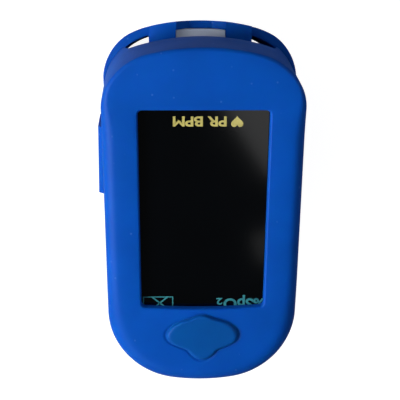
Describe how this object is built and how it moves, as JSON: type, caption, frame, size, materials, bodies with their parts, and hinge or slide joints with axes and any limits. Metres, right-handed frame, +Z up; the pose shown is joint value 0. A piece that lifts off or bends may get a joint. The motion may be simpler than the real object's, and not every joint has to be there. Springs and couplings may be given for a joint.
{
  "type": "fingertip pulse oximeter",
  "caption": "Clip-type fingertip pulse oximeter in a soft silicone cover, with a sprung jaw, dark display window, press button and sliding battery door.",
  "frame": {"origin": "centre of the bottom face of the whole object's box, on the surface that it rests on", "axes": "+Z up through the display, -Y towards the end that the finger enters, +X to the right when the display is read from that end"},
  "size_m": [0.0364, 0.0612, 0.0346],
  "materials": {
    "silicone_cover": "matte moulded silicone, royal blue",
    "silicone_pad": "matte moulded silicone, slightly lighter blue",
    "case_plastic": "moulded ABS, off-white",
    "button_plastic": "moulded ABS",
    "frame_plastic": "moulded ABS, light grey",
    "finger_silicone": "soft silicone, whitish grey",
    "window_acrylic": "polished smoked acrylic with a printed back",
    "display_block": "potted display module",
    "segment_epoxy": "red diffusing epoxy, unlit",
    "circuit_board": "solder mask over glass laminate",
    "chip_epoxy": "moulded epoxy",
    "bright_steel": "plated steel",
    "spring_steel": "drawn spring wire",
    "nickel_strip": "nickel plated strip",
    "battery_jacket": "printed film over a steel can",
    "clear_lens": "clear moulded epoxy",
    "led_epoxy": "clear epoxy",
    "polyimide_cable": "polyimide film",
    "connector_nylon": "moulded nylon"
  },
  "bodies": {
    "lower_jaw": {"cover_lower": "silicone_cover", "lower_shell": "case_plastic", "lower_frame": "frame_plastic", "lower_cushion": "finger_silicone", "battery_left": "battery_jacket", "battery_right": "battery_jacket", "battery_contacts": "nickel_strip", "hinge_pin": "bright_steel", "torsion_spring_left": "spring_steel", "torsion_spring_right": "spring_steel", "lower_screws": "bright_steel", "sensor_board": "circuit_board", "photodiode": "chip_epoxy", "detector_lens": "clear_lens", "flex_cable": "polyimide_cable"},
    "upper_jaw": {"cover_upper": "silicone_cover", "upper_shell": "case_plastic", "display_window": "window_acrylic", "digit_display": "display_block", "digit_segments": "segment_epoxy", "main_board": "circuit_board", "processor": "chip_epoxy", "small_chips": "chip_epoxy", "crystal": "bright_steel", "cable_connector": "connector_nylon", "switch_body": "chip_epoxy", "upper_frame": "frame_plastic", "upper_screws": "bright_steel", "emitter_board": "circuit_board", "emitter_leds": "led_epoxy", "emitter_lens": "clear_lens", "upper_cushion": "finger_silicone"},
    "power_button": {"power_button": "button_plastic", "switch_stem": "connector_nylon", "cover_button_pad": "silicone_pad"},
    "battery_door": {"battery_door": "case_plastic"}
  },
  "joints": [
    {"name": "jaw_hinge", "type": "hinge", "parent": "lower_jaw", "child": "upper_jaw", "pos_m": [0, 0.011, 0.0175], "axis": [-1, 0, 0], "range_deg": [0, 15], "stiffness_Nm_per_rad": 0.2, "springref_deg": -34.38, "deforming": ["torsion_spring_left", "torsion_spring_right", "flex_cable"]},
    {"name": "button_press", "type": "slide", "parent": "upper_jaw", "child": "power_button", "axis": [0, 0, -1], "range_m": [0, 0.0004], "stiffness_N_per_m": 4000, "springref_m": -0.0001},
    {"name": "door_slide", "type": "slide", "parent": "lower_jaw", "child": "battery_door", "axis": [0, 1, 0], "range_m": [0, 0.045]}
  ]
}
